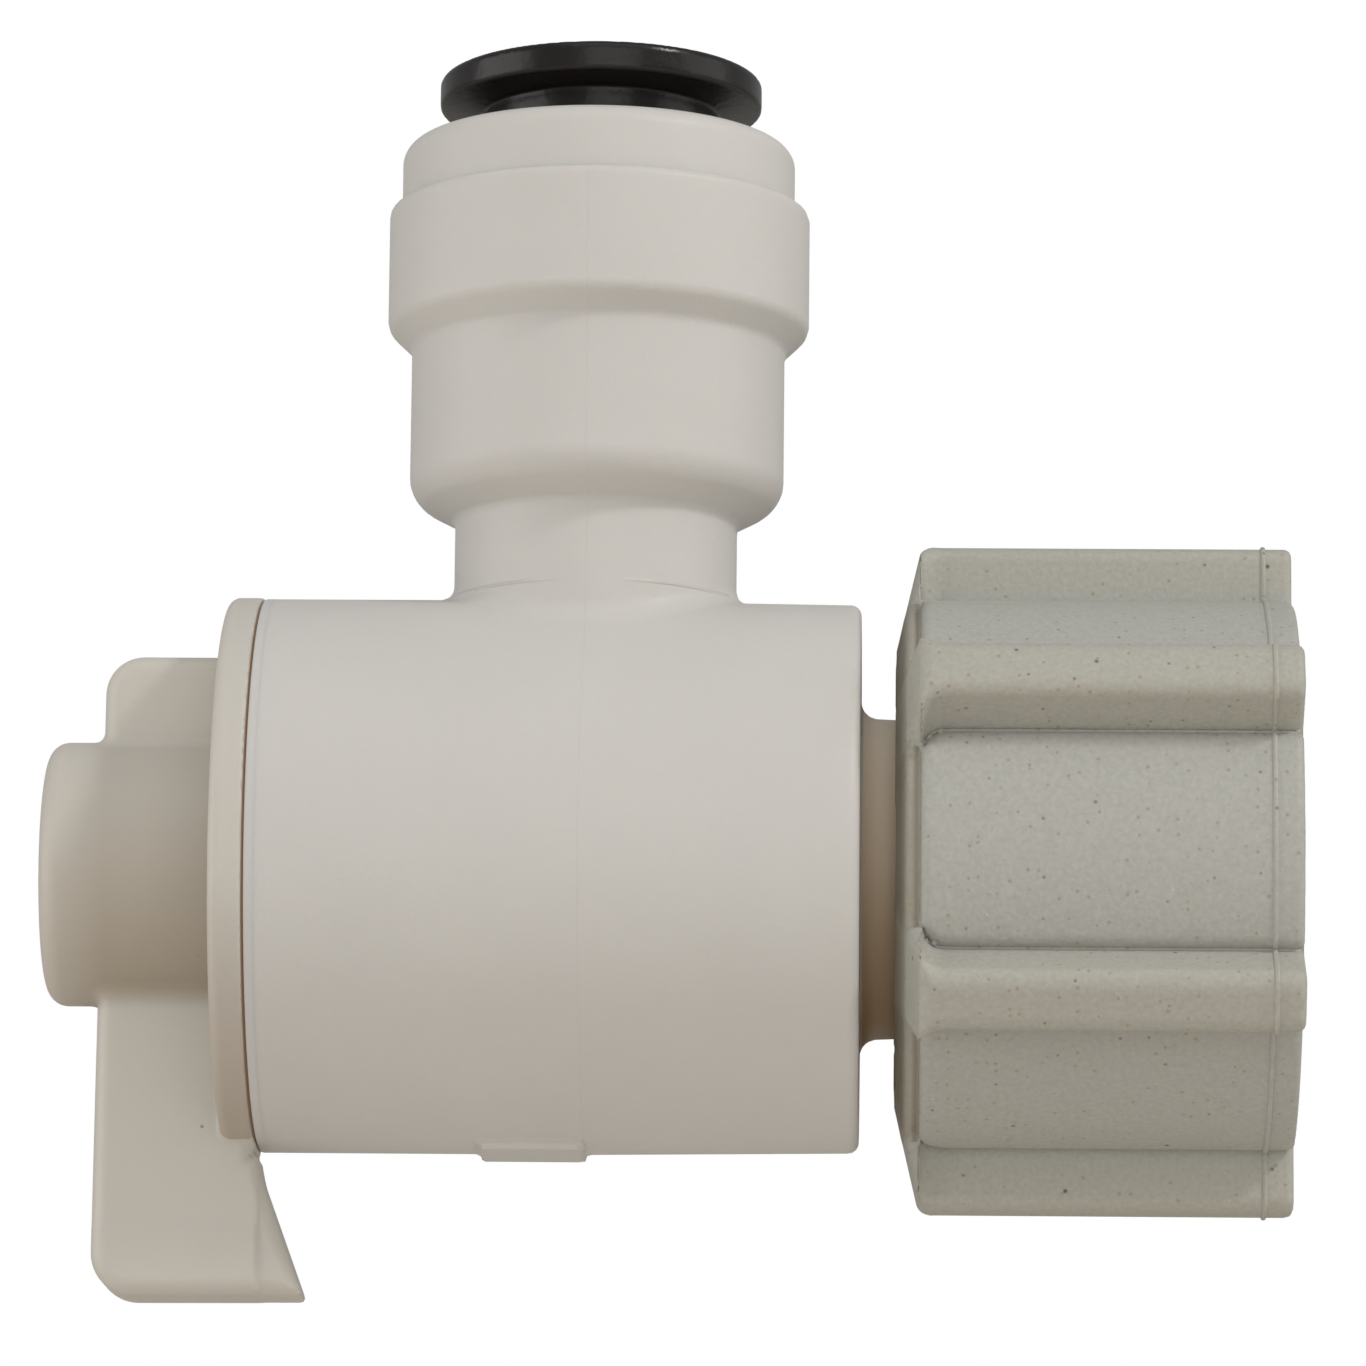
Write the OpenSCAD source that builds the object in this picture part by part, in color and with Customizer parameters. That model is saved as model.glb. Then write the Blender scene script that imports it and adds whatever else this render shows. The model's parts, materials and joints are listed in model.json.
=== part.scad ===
// Quarter-turn angle valve with a push-fit tube port and a swivel nut.
// The barrel axis is X and the tube port rises along +Z.
// The origin is the centre of the swivel nut's open mouth, and all sizes are millimetres.

/* [Barrel] */
// Outer radius of the barrel
barrel_r = 13; // [12.5:0.1:14]
// From the valve axis to the handle end of the barrel
barrel_left = 15.4; // [15.2:0.1:15.6]
// From the valve axis to the nut end of the barrel
barrel_right = 12.6; // [12.4:0.1:13]
// Radius of the waterway
waterway_r = 3.5; // [2.5:0.1:3.6]
// Radius of the ball
ball_r = 8; // [7.8:0.1:8.1]

/* [Tube port] */
// Radius of the bore that takes the tube, for a 9.53 mm tube
tube_bore_r = 4.85; // [4.8:0.01:4.87]
// Outer radius of the neck
neck_r = 6.67; // [6.3:0.01:7]
// Outer radius of the port between the neck and the ring
port_r = 8.85; // [8.6:0.05:9.1]
// Outer radius of the ring and height of its top
ring_r = 10; // [9.9:0.1:10.6]
ring_top = 32.05; // [31.8:0.05:32.6]
// Outer radius of the cap and height of its top
cap_r = 9.35; // [9:0.05:9.8]
cap_top = 35.2; // [34.9:0.05:35.4]
// How far the collet can be pushed in
collet_travel = 1.5; // [1:0.1:1.5]

/* [Handle] */
// Radius and thickness of the disc
disc_r = 13.05; // [12.8:0.05:13.2]
disc_thickness = 1.45; // [1.3:0.05:2]
// Radius of the hub and distance of its end from the valve axis
hub_r = 6.2; // [6:0.1:6.6]
hub_end = 25.5; // [25:0.1:26]
// Thickness of the lever
lever_thickness = 4.8; // [4:0.1:5.4]
// Reach of the lever above and below the axis
lever_up = 10.1; // [8:0.1:12]
lever_down = 20; // [19:0.1:24]

/* [Swivel nut] */
// From the valve axis to the open mouth of the nut
mouth = 32.8; // [32.4:0.1:33.4]
// Radius over the pads and over the grip ridges
pad_r = 13.1; // [12.9:0.1:13.6]
ridge_r = 15.75; // [15:0.05:16.5]
// Width and number of the grip ridges
ridge_width = 3; // [2:0.1:4]
ridge_pairs = 3; // [2:1:5]
// Crest radius and length of the female thread
thread_r = 9.3; // [9.25:0.01:9.4]
thread_length = 7.5; // [7:0.1:7.5]
// How far the loose nut can slide back along the spigot
nut_travel = 1.2; // [0.8:0.1:1.4]

/* [Hidden] */
$fn = 96;
through = 0.1;

seat_gap = 0.05;
seat_in_r = waterway_r + 0.2;
seat_out_r = 5.7;
seat_depth = 9.6;
pocket_r = 5.8;
pocket_depth = 10.9;
cavity_r = 8.45;
cavity_left = 9.6;
cavity_right = 8.4;
gland_r = 9.4;
gland_face = 15.3;
gland_bore_r = 4.4;
collar_r = 5.6;
shaft_r = 4.35;
stem_groove_r = 3.3;
stem_groove_x = [14.2, 12];
square_size = 6.2;
square_end = 20.8;

stub_r = 7.5;
spigot_r = 6.6;
spigot_flange_r = 7.95;
flange_back = 20.9;
flange_front = 22.5;
nose_r = 5;
nose_end = 24.6;

tube_stop = 17.4;
oring_floor = 21.4;
chamber_top = 26.3;
chamber_r = 6.9;
cap_bore_r = 8;
ring_bottom = 26.3;
port_top = 25.2;
port_bottom = 16.9;

handle_face = barrel_left + 0.2;
disc_left = handle_face + disc_thickness;
lug_in = 10.4;
lug_out = 11.8;
lug_half = 6;
lug_angle = 45;

collet_r = 5.6;
collet_bore_r = 4.92;
collet_low = 27.5;
flange_low = cap_top + collet_travel + 0.15;
flange_top = flange_low + 1.63;
collet_flange_r = 7.68;

nut_back = barrel_right + nut_travel + 0.45;
relief_r = 10.45;
nut_shoulder = 19.3;
nut_hole_r = 8.15;

// Points of an arc, for the rounded corners of an outline
function arc(cx, cy, r, from, to, steps = 6) =
    [for (i = [0:steps]) let (a = from + (to - from) * i / steps)
        [cx + r * cos(a), cy + r * sin(a)]];

// Moves what is drawn around the valve axis to the frame of the part
module at_valve() { translate([-mouth, 0, 0]) children(); }

// Solid of revolution about X from an outline of [radius, x] points
module turned_x(outline) { rotate([0, 90, 0]) rotate_extrude() polygon(outline); }

// Solid of revolution about Z from an outline of [radius, z] points
module turned_z(outline) { rotate_extrude() polygon(outline); }

// Cylinder along X between two stations
module rod_x(r, x0, x1) { translate([x0, 0, 0]) rotate([0, 90, 0]) cylinder(r = r, h = x1 - x0); }

// Cylinder along Z between two stations
module rod_z(r, z0, z1) { translate([0, 0, z0]) cylinder(r = r, h = z1 - z0); }

module ring_x(r_in, r_out, x0, x1) {
    difference() {
        rod_x(r_out, x0, x1);
        rod_x(r_in, x0 - through, x1 + through);
    }
}

module ring_z(r_in, r_out, z0, z1) {
    difference() {
        rod_z(r_out, z0, z1);
        rod_z(r_in, z0 - through, z1 + through);
    }
}

// Round seal ring about Z, with the radius of its section and of its centre line
module oring(centre_r, section_r) {
    rotate_extrude() translate([centre_r, 0]) circle(r = section_r, $fn = 32);
}

// Part of a ring about X, from an angle that is measured from -Z towards +Y
module sector_x(r_in, r_out, x0, x1, start, sweep) {
    rotate([0, 90, 0]) rotate([0, 0, start]) rotate_extrude(angle = sweep)
        translate([r_in, x0]) square([r_out - r_in, x1 - x0]);
}

module body_outside() {
    corner = 0.5;
    rim_corner = 0.8;
    fillet = 0.8;
    turned_x(concat(
        [[0, -barrel_left], [barrel_r - 0.3, -barrel_left], [barrel_r, -barrel_left + 0.3]],
        [[barrel_r, 0]],
        arc(barrel_r - 0.15 - corner, barrel_right - corner, corner, 0, 90),
        arc(stub_r + fillet, barrel_right + fillet, fillet, 270, 180),
        [[stub_r, nut_back + 1], [spigot_r, nut_back + 1], [spigot_r, flange_back],
         [spigot_flange_r, flange_back], [spigot_flange_r, flange_front],
         [nose_r, flange_front], [nose_r, nose_end], [0, nose_end]]));
    rod_z(neck_r, 9, port_bottom + 1);
    turned_z(concat(
        [[0, port_bottom + 0.1], [neck_r, port_bottom]],
        arc(port_r - rim_corner, port_bottom + 1.63, rim_corner, 298, 360),
        [[port_r, port_top], [ring_r, ring_bottom]],
        arc(ring_r - 0.4, ring_top - 0.4, 0.4, 0, 90),
        [[0, ring_top]]));
    translate([-5.1, -2.5, -barrel_r - 0.18]) cube([4.95, 5, 1]);
}

module body_inside() {
    rod_x(gland_r + 0.05, -barrel_left - through, -cavity_left);
    rod_x(cavity_r, -cavity_left - through, cavity_right);
    rod_x(pocket_r, cavity_right - through, pocket_depth);
    rod_x(waterway_r, pocket_depth - through, nose_end + through);
    rod_z(pocket_r, 0, pocket_depth);
    rod_z(waterway_r, pocket_depth - through, tube_stop + through);
    rod_z(tube_bore_r, tube_stop, oring_floor + through);
    rod_z(chamber_r, oring_floor, chamber_top + through);
    rod_z(cap_bore_r, chamber_top, ring_top + through);
    sector_x(lug_in - 0.3, lug_out + 0.3, -barrel_left - through, -barrel_left + 1.7,
             lug_angle - lug_half - 1.5, 90 + 2 * lug_half + 3);
}

module valve_body() {
    color("ivory") at_valve() difference() {
        body_outside();
        body_inside();
    }
}

// Plug that closes the handle end and guides the stem
module gland() {
    groove_r = 8.28;
    color("whitesmoke") at_valve() difference() {
        union() {
            rod_x(gland_r, -gland_face, -cavity_left - 0.05);
            rod_x(cavity_r - 0.1, -cavity_left - 0.1, -8.9);
        }
        rod_x(gland_bore_r, -gland_face - through, -8);
        rod_x(collar_r + 0.15, -10.3, -8);
        ring_x(groove_r, gland_r + 1, -13.05, -11.75);
    }
}

module gland_oring() {
    color("dimgray") at_valve() translate([-12.4, 0, 0]) rotate([0, 90, 0]) oring(8.85, 0.56);
}

module stem_washer() {
    color("white") at_valve() ring_x(gland_bore_r + 0.05, collar_r + 0.1, -10.25, -9.95);
}

// Ring of seat material, hollowed to the ball on the side that faces the valve axis
module ball_seat(r_in, r_out, near, far) {
    difference() {
        ring_z(r_in, r_out, near, far);
        sphere(r = ball_r + seat_gap);
    }
}

module rear_seat() {
    color("white") at_valve() rotate([0, -90, 0]) ball_seat(4.9, cavity_r - 0.1, 6, 8.75);
}

module inlet_seat() {
    color("white") at_valve() rotate([0, 90, 0])
        ball_seat(seat_in_r, seat_out_r, 5.5, seat_depth);
}

module outlet_seat() {
    color("white") at_valve() ball_seat(seat_in_r, seat_out_r, 5.5, seat_depth);
}

module seat_orings() {
    section_r = 0.6;
    color("dimgray") at_valve() for (turn = [0, 90]) {
        rotate([0, turn, 0]) translate([0, 0, pocket_depth - section_r - 0.03])
            oring(4.7, section_r);
    }
}

module ball() {
    color("gainsboro") at_valve() difference() {
        sphere(r = ball_r);
        rod_x(waterway_r, 0, ball_r + 1);
        rod_z(waterway_r, 0, ball_r + 1);
        sphere(r = waterway_r);
        translate([-ball_r - 1, -1.6, -ball_r - 1]) cube([3.1, 3.2, 2 * ball_r + 2]);
    }
}

module stem() {
    color("gainsboro") at_valve() difference() {
        union() {
            translate([-square_end, -square_size / 2, -square_size / 2])
                cube([square_end - barrel_left, square_size, square_size]);
            rod_x(shaft_r, -barrel_left - 0.1, -9.8);
            rod_x(collar_r, -9.9, -8.8);
            translate([-8.9, -1.5, -4.5]) cube([2.85, 3, 9]);
        }
        for (x = stem_groove_x) ring_x(stem_groove_r, shaft_r + 1, -x - 0.62, -x + 0.62);
        rod_x(1.4, -square_end - through, -14.8);
    }
}

module stem_orings() {
    color("dimgray") at_valve() for (x = stem_groove_x) {
        translate([-x, 0, 0]) rotate([0, 90, 0]) oring(3.84, 0.53);
    }
}

module lever_outline() {
    tip_r = 0.3;
    top_r = 1.8;
    foot_r = 2;
    left = -22.93;
    polygon(concat(
        arc(left + top_r, lever_up - top_r, top_r, 180, 90),
        [[-disc_left + 0.6, lever_up], [-disc_left + 0.6, -barrel_r + 0.6],
         [-handle_face, -barrel_r + 0.4], [-15.4, -barrel_r - 0.4], [-15.4, -14]],
        arc(-13.38, -lever_down + tip_r, tip_r, 20, -90, 3),
        arc(left + foot_r - 0.08, -lever_down + foot_r, foot_r, 270, 180)));
}

module handle() {
    corner = 0.5;
    hub_corner = 0.9;
    color("antiquewhite") at_valve() difference() {
        union() {
            turned_x(concat(
                [[0, -handle_face], [disc_r - 0.2, -handle_face], [disc_r, -handle_face - 0.2]],
                arc(disc_r - corner, -disc_left + corner, corner, 0, -90),
                [[hub_r + 0.4, -disc_left], [hub_r, -disc_left - 0.4]],
                arc(hub_r - hub_corner, -hub_end + hub_corner, hub_corner, 0, -90),
                [[0, -hub_end]]));
            rotate([90, 0, 0]) linear_extrude(height = lever_thickness, center = true)
                lever_outline();
            sector_x(lug_in, lug_out, -handle_face - 0.2, -barrel_left + 1.4,
                     lug_angle - lug_half, 2 * lug_half);
        }
        translate([-square_end - through, -square_size / 2 - 0.05, -square_size / 2 - 0.05])
            cube([8, square_size + 0.1, square_size + 0.1]);
        rod_x(1.9, -22.1, -square_end);
        rod_x(3.5, -23.8, -22);
        rod_x(4.45, -hub_end - through, -23.7);
    }
}

// Self-tapping screw that holds the handle on the stem
module handle_screw() {
    color("silver") at_valve() difference() {
        union() {
            rod_x(3.1, -23.6, -22.02);
            rod_x(1.35, -22.1, -15);
        }
        for (turn = [0, 90]) {
            rotate([turn, 0, 0]) translate([-24, -1.7, -0.35]) cube([1.3, 3.4, 0.7]);
        }
    }
}

module handle_plug() {
    color("antiquewhite") at_valve() rod_x(4.4, -hub_end, -23.75);
}

module port_oring() {
    color("dimgray") at_valve() translate([0, 0, 22.42]) oring(5.88, 0.96);
}

module port_spacer() {
    color("whitesmoke") at_valve() ring_z(collet_bore_r, chamber_r - 0.05, 23.5, 25.5);
}

// Cap that is fixed in the ring and closes the collet's cone
module port_cap() {
    corner = 0.95;
    color("ivory") at_valve() turned_z(concat(
        [[cap_bore_r - 0.04, 26.4], [cap_bore_r - 0.04, ring_top + 0.02],
         [cap_r, ring_top + 0.02]],
        arc(cap_r - corner, cap_top - corner, corner, 0, 90),
        [[6.65, cap_top], [5.95, cap_top - 0.7], [5.95, 33.4], [7.2, 29.5], [7.2, 26.4]]));
}

module collet() {
    color("#151515") at_valve() difference() {
        turned_z(concat(
            [[collet_bore_r, collet_low], [6.75, collet_low], [6.75, 29], [collet_r, 33],
             [collet_r, flange_low]],
            arc(collet_flange_r - 0.2, flange_low + 0.45, 0.2, -90, 0, 3),
            arc(collet_flange_r - 0.35, flange_top - 0.35, 0.35, 0, 90),
            [[5.5, flange_top], [collet_bore_r, flange_top - 0.6]]));
        for (turn = [0:60:120]) {
            rotate(turn) translate([-8, -0.5, collet_low - through]) cube([16, 1, 6.2]);
        }
        ring_z(3, 6.3, 28.2, 28.8);
    }
}

// Stainless blades set in the fingers of the collet
module collet_teeth() {
    color("lightsteelblue") at_valve() difference() {
        ring_z(collet_bore_r + 0.02, 6.27, 28.22, 28.78);
        for (turn = [0:60:120]) rotate(turn) translate([-8, -0.7, 28]) cube([16, 1.4, 1]);
    }
}

// Split ring between the spigot's flange and the nut's shoulder
module thrust_ring() {
    color("white") at_valve() difference() {
        ring_x(spigot_r + 0.08, 9.15, 19.4, flange_back - 0.05);
        translate([19, -0.6, -10]) cube([3, 1.2, 10]);
    }
}

module cone_washer() {
    color("#202020") at_valve() turned_x([
        [nose_r + 0.05, flange_front + 0.02], [9, flange_front + 0.02], [9, 23.9],
        [8.3, 25], [nose_r + 0.05, 25]]);
}

// Turned envelope of the grip ridges, with their sloping back ends
module ridge_envelope() {
    turned_x([[0, nut_back], [10.7, nut_back], [15.2, nut_back + 0.95],
              [ridge_r - 0.2, nut_back + 1.2], [ridge_r, nut_back + 1.6],
              [ridge_r, mouth - 0.3], [ridge_r - 0.3, mouth], [0, mouth]]);
}

// One pair of opposite grip ridges, which widen at their back ends
module ridge_pair(pad_back) {
    side = [[nut_back - 1, 2.45], [pad_back, 2.45], [pad_back + 0.3, 1.9],
            [pad_back + 1, ridge_width / 2], [mouth + 1, ridge_width / 2]];
    rotate([90, 0, 0]) linear_extrude(height = 40, center = true)
        polygon(concat(side, [for (i = [len(side) - 1:-1:0]) [side[i][0], -side[i][1]]]));
}

module swivel_nut() {
    pad_back = 15.35;
    collar_out = 12.5;
    color("darkgray") at_valve() difference() {
        union() {
            turned_x([[0, nut_back], [10, nut_back], [collar_out - 0.3, nut_back + 0.35],
                      [collar_out, nut_back + 0.7], [collar_out, pad_back],
                      [pad_r - 0.4, pad_back], [pad_r, pad_back + 0.5],
                      [pad_r, mouth - 0.3], [pad_r - 0.3, mouth], [0, mouth]]);
            intersection() {
                ridge_envelope();
                for (i = [0:ridge_pairs - 1])
                    rotate([90 + i * 180 / ridge_pairs, 0, 0]) ridge_pair(pad_back);
            }
        }
        rod_x(nut_hole_r, nut_back - through, nut_shoulder + through);
        rod_x(relief_r, nut_shoulder, mouth - thread_length);
        rod_x(thread_r, mouth - thread_length - through, mouth + through);
    }
}

valve_body();
gland();
gland_oring();
stem_washer();
rear_seat();
inlet_seat();
outlet_seat();
seat_orings();
ball();
stem();
stem_orings();
handle();
handle_screw();
handle_plug();
port_oring();
port_spacer();
port_cap();
collet();
collet_teeth();
thrust_ring();
cone_washer();
swivel_nut();
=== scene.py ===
"""Looks of a push-fit angle stop valve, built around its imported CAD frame.

The moulded shells are skinned from distance fields, which give true rolling-ball fillets where
the mouldings have them. Field sizes are millimetres from the valve axis, where the barrel's
axis (X) meets the tube port's axis (Z). The frame's origin is the mouth of the swivel nut.
"""
import json
import math

import bpy
import numpy as np
from mathutils import Matrix, Vector


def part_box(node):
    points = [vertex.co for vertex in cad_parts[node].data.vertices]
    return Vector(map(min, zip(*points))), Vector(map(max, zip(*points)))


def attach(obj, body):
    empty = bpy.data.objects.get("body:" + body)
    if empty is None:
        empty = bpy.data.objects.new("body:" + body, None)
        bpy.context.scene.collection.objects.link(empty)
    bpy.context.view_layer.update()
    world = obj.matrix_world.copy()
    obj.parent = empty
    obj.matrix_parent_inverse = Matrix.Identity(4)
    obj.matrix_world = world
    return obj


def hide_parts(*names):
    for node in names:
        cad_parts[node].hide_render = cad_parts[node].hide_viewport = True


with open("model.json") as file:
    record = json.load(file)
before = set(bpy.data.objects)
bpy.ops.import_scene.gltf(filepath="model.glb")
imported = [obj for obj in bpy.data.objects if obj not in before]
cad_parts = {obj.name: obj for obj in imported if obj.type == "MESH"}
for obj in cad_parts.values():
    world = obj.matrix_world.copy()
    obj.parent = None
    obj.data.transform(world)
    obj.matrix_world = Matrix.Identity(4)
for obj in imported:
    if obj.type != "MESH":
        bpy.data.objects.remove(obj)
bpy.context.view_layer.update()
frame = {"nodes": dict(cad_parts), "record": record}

MM = 0.001

# Middle of the tube port, in millimetres from the frame's origin
AXIS = np.array([sum(corner[0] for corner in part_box("port_cap")) / 2 / MM, 0, 0])


def box_mm(name):
    """Lowest and highest corners of a CAD node, in millimetres from the valve axis."""
    low, high = (np.array(corner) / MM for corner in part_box(name))
    return low - AXIS, high - AXIS


body_low, body_high = box_mm("valve_body")
handle_low, handle_high = box_mm("handle")
nut_low, nut_high = box_mm("swivel_nut")
collet_low, collet_high = box_mm("collet")

# Barrel, its stub and spigot, and the foot pad under it
BARREL_R = 13.0
BARREL_LEFT = body_low[0]
BARREL_RIGHT = 12.6
BARREL_DRAFT = 0.012
STUB_R, STUB_DRAFT = 7.55, 0.04
STUB_END = 15.25
SPIGOT_R = 6.6
FLANGE_R, FLANGE_BACK, FLANGE_FRONT = 7.95, 20.9, 22.5
NOSE_R, NOSE_END = 5.0, body_high[0]
FOOT_LEFT, FOOT_RIGHT, FOOT_HALF = -5.1, -0.15, 2.5

# Neck, and the port with its ring
NECK_R = 6.67
PORT_BOTTOM, PORT_R, PORT_TOP = 16.9, 8.85, 25.2
UNDERSIDE_RISE = 1.15
RING_R, RING_BOTTOM, RING_TOP = 10.0, 26.3, body_high[2]
SHELL_FILLET = 0.8

# Bores of the body, as (radius, from, to)
X_BORES = [(9.45, -20, -9.6), (8.45, -10, 8.4), (5.8, 8, 10.9), (3.5, 10, 26)]
Z_BORES = [(5.8, 0, 10.9), (3.5, 10, 18), (4.85, 17.4, 22), (6.9, 21.4, 27), (8.0, 26.3, 33)]

# Stop lug behind the handle's disc, and how far its groove in the body clears it
LUG_INNER, LUG_OUTER, LUG_HALF_ANGLE = 10.4, 11.8, math.radians(6)
LUG_END, LUG_ROOM = -14.0, 0.3

# Handle
DISC_R = 13.05
DISC_LEFT, DISC_RIGHT = -17.05, BARREL_LEFT - 0.09
LIP_R = 12.87
HUB_R = 6.2
LEVER_LEFT, LEVER_RIGHT = -22.93, -15.42
LEVER_HALF = 2.4
LEVER_TOP = 10.1
HOOK_TIP, HOOK_ROOT = (-13.2, -19.75), (-15.25, -14.2)
HOOK_START = -15.3
STEM_SQUARE_HALF = 3.15
# Holes in the hub, as (radius, from, to)
HUB_HOLES = [(1.9, -22.1, -20.5), (3.5, -23.8, -22), (4.45, -26, -23.7)]

# Swivel nut
PAD_R, COLLAR_R, BASE_R, RIDGE_R = 13.1, 12.5, 12.3, nut_high[2]
BASE_START, PAD_START, COLLAR_END = 14.8, 15.36, 15.5
PAD_HALF, PAD_CORNER, PAD_EDGE = 5.15, 1.3, 0.5
RIDGES = 6
RIDGE_HALF, RIDGE_FLARE = 1.5, 1.05
DIMPLE_AT, DIMPLE_DEPTH = 30.7, 0.05
FLASH_AT, FLASH_R = 31.46, 0.13
THREAD_CREST, THREAD_ROOT, THREAD_PITCH = 9.3, 10.38, 25.4 / 14
THREAD_START, REAR_HOLE_R = 19.3, 8.15

# Release collet and the cap that it sits in
COLLET_BORE_R, STEM_R, FINGER_R = 4.92, 5.6, 6.75
COLLET_PIVOT = (0, 0, 33)
COLLET_LEAN = (math.radians(-1.0), math.radians(-0.2))
CAP_SOCKET_R, CAP_MOUTH_R = 7.2, 5.95
CAP_SHIFT = -0.07

# Spacing of the nets that skin the shells
BODY_STEP, HANDLE_STEP, NUT_STEP, COLLET_STEP = 0.315, 0.2, 0.235, 0.17


# ---- Distance fields ----

def union(a, b, fillet=0.0):
    """Both shapes, with a rolling-ball fillet where they meet."""
    if not fillet:
        return np.minimum(a, b)
    ball = np.hypot(np.maximum(fillet - a, 0), np.maximum(fillet - b, 0))
    return np.maximum(fillet, np.minimum(a, b)) - ball


def common(a, b, corner=0.0):
    """What the shapes share, with a rounded edge where their surfaces cross."""
    if not corner:
        return np.maximum(a, b)
    ball = np.hypot(np.maximum(corner + a, 0), np.maximum(corner + b, 0))
    return np.minimum(-corner, np.maximum(a, b)) + ball


def between(value, low, high):
    """Field of the slab where value lies from low to high."""
    return np.maximum(low - value, value - high)


def step_up(value, start, width):
    """0 before start, 1 beyond start + width, smooth between."""
    t = np.clip((value - start) / width, 0, 1)
    return t * t * (3 - 2 * t)


def slope(value_a, value_b, point_a, point_b):
    """Distance to the line through two points, positive on its left."""
    da, db = point_b[0] - point_a[0], point_b[1] - point_a[1]
    cross = da * (value_b - point_a[1]) - db * (value_a - point_a[0])
    return cross / math.hypot(da, db)


def lug_angle(y, z):
    """Angle about X, from straight down towards +Y."""
    return np.arctan2(y, -z)


def port_field(rho, z):
    """The port's two steps, above the neck."""
    underside = slope(rho, z, (PORT_R, PORT_BOTTOM + UNDERSIDE_RISE), (NECK_R, PORT_BOTTOM))
    lower = common(rho - PORT_R, underside, SHELL_FILLET)
    ring = common(rho - RING_R, z - RING_TOP, 0.4)
    ring = common(ring, slope(rho, z, (RING_R, RING_BOTTOM), (PORT_R, PORT_TOP)), 0.2)
    return union(np.maximum(lower, z - RING_TOP + 1), ring, 0.15)


def body_field(x, y, z):
    """The valve body: barrel, spigot, neck and port, with its bores."""
    about_x, about_z = np.hypot(y, z), np.hypot(x, y)
    barrel = about_x - BARREL_R + BARREL_DRAFT * np.maximum(x, 0)
    barrel = common(barrel, x - BARREL_RIGHT, 0.5)
    barrel = common(barrel, BARREL_LEFT + 0.01 - x, 0.35)
    stub_radius = STUB_R - STUB_DRAFT * np.maximum(x - BARREL_RIGHT, 0)
    solid = union(barrel, np.maximum(about_x - stub_radius, x - STUB_END), SHELL_FILLET)
    spigot = np.maximum(about_x - SPIGOT_R, x - FLANGE_FRONT + 0.5)
    flange = common(about_x - FLANGE_R, between(x, FLANGE_BACK, FLANGE_FRONT), 0.2)
    nose = common(about_x - NOSE_R, x - NOSE_END, 0.35)
    solid = union(solid, union(np.minimum(spigot, flange), nose, 0.2))
    neck = np.maximum(about_z - NECK_R, between(z, 5, PORT_BOTTOM + 1))
    solid = union(solid, neck, SHELL_FILLET)
    solid = union(solid, port_field(about_z, z), 0.2)
    foot = common(between(x, FOOT_LEFT, FOOT_RIGHT), np.abs(y) - FOOT_HALF, 0.4)
    foot = common(foot, between(z, body_low[2], -BARREL_R + 1), 0.15)
    solid = union(solid, foot, 0.12)
    hollow = between(about_x, LUG_INNER - LUG_ROOM, LUG_OUTER + LUG_ROOM)
    hollow = np.maximum(hollow, x - BARREL_LEFT - 1.7)
    swing = np.abs(lug_angle(y, z) - math.pi / 2) - math.pi / 4 - LUG_HALF_ANGLE - 0.03
    hollow = np.maximum(hollow, swing * about_x)
    for radius, start, end in X_BORES:
        hollow = np.minimum(hollow, np.maximum(about_x - radius, between(x, start, end)))
    for radius, start, end in Z_BORES:
        hollow = np.minimum(hollow, np.maximum(about_z - radius, between(z, start, end)))
    return common(solid, -hollow, 0.2)


def lever_outline(x, z):
    """The lever seen from the side: a plate above the hub and a finger hook below it."""
    left = LEVER_LEFT + 0.004 * z
    upper = common(left - x, z - LEVER_TOP, 1.8)
    upper = np.maximum(upper, np.maximum(x - DISC_LEFT - 0.5, -z))
    right = union(x - LEVER_RIGHT, -slope(x, z, HOOK_TIP, HOOK_ROOT), 0.4)
    lower = common(left - x, handle_low[2] - z + 0.006 * (x + 20), 2.0)
    lower = common(np.maximum(lower, z - 1), right, 0.3)
    above_hook = np.maximum(DISC_RIGHT - x, -BARREL_R - 0.35 - z)
    return union(upper, common(lower, -above_hook, 0.25))


def handle_field(x, y, z):
    """The handle: disc, hub, lever and the stop lug."""
    about_x = np.hypot(y, z)
    disc = common(about_x - DISC_R, DISC_LEFT - x, 0.5)
    disc = common(disc, x - DISC_RIGHT, 0.1)
    hub = np.maximum(common(about_x - HUB_R, handle_low[0] - x, 0.95), x - DISC_RIGHT)
    past_start = step_up(x, HOOK_START, 0.18)
    hook = past_start * step_up(-z, 12.6, 0.4)
    thick_end = step_up(-z, 16.6, 0.5) * (1 - past_start)
    half = LEVER_HALF - 0.14 * hook + 0.05 * thick_end
    lever = common(lever_outline(x, z), np.abs(y) - half, 0.8)
    solid = union(hub, lever, 0.5)
    solid = union(solid, disc, 0.3)
    lug = between(about_x, LUG_INNER, LUG_OUTER)
    lug = np.maximum(lug, between(x, DISC_RIGHT - 0.2, LUG_END))
    turned = (np.abs(lug_angle(y, z) - math.pi / 4) - LUG_HALF_ANGLE) * about_x
    solid = union(solid, common(lug, turned, 0.1))
    hollow = np.maximum(np.maximum(np.abs(y), np.abs(z)) - STEM_SQUARE_HALF, x + 12)
    hollow = np.maximum(hollow, -20.9 - x)
    for radius, start, end in HUB_HOLES:
        hollow = np.minimum(hollow, np.maximum(about_x - radius, between(x, start, end)))
    return common(solid, -hollow, 0.12)


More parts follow.
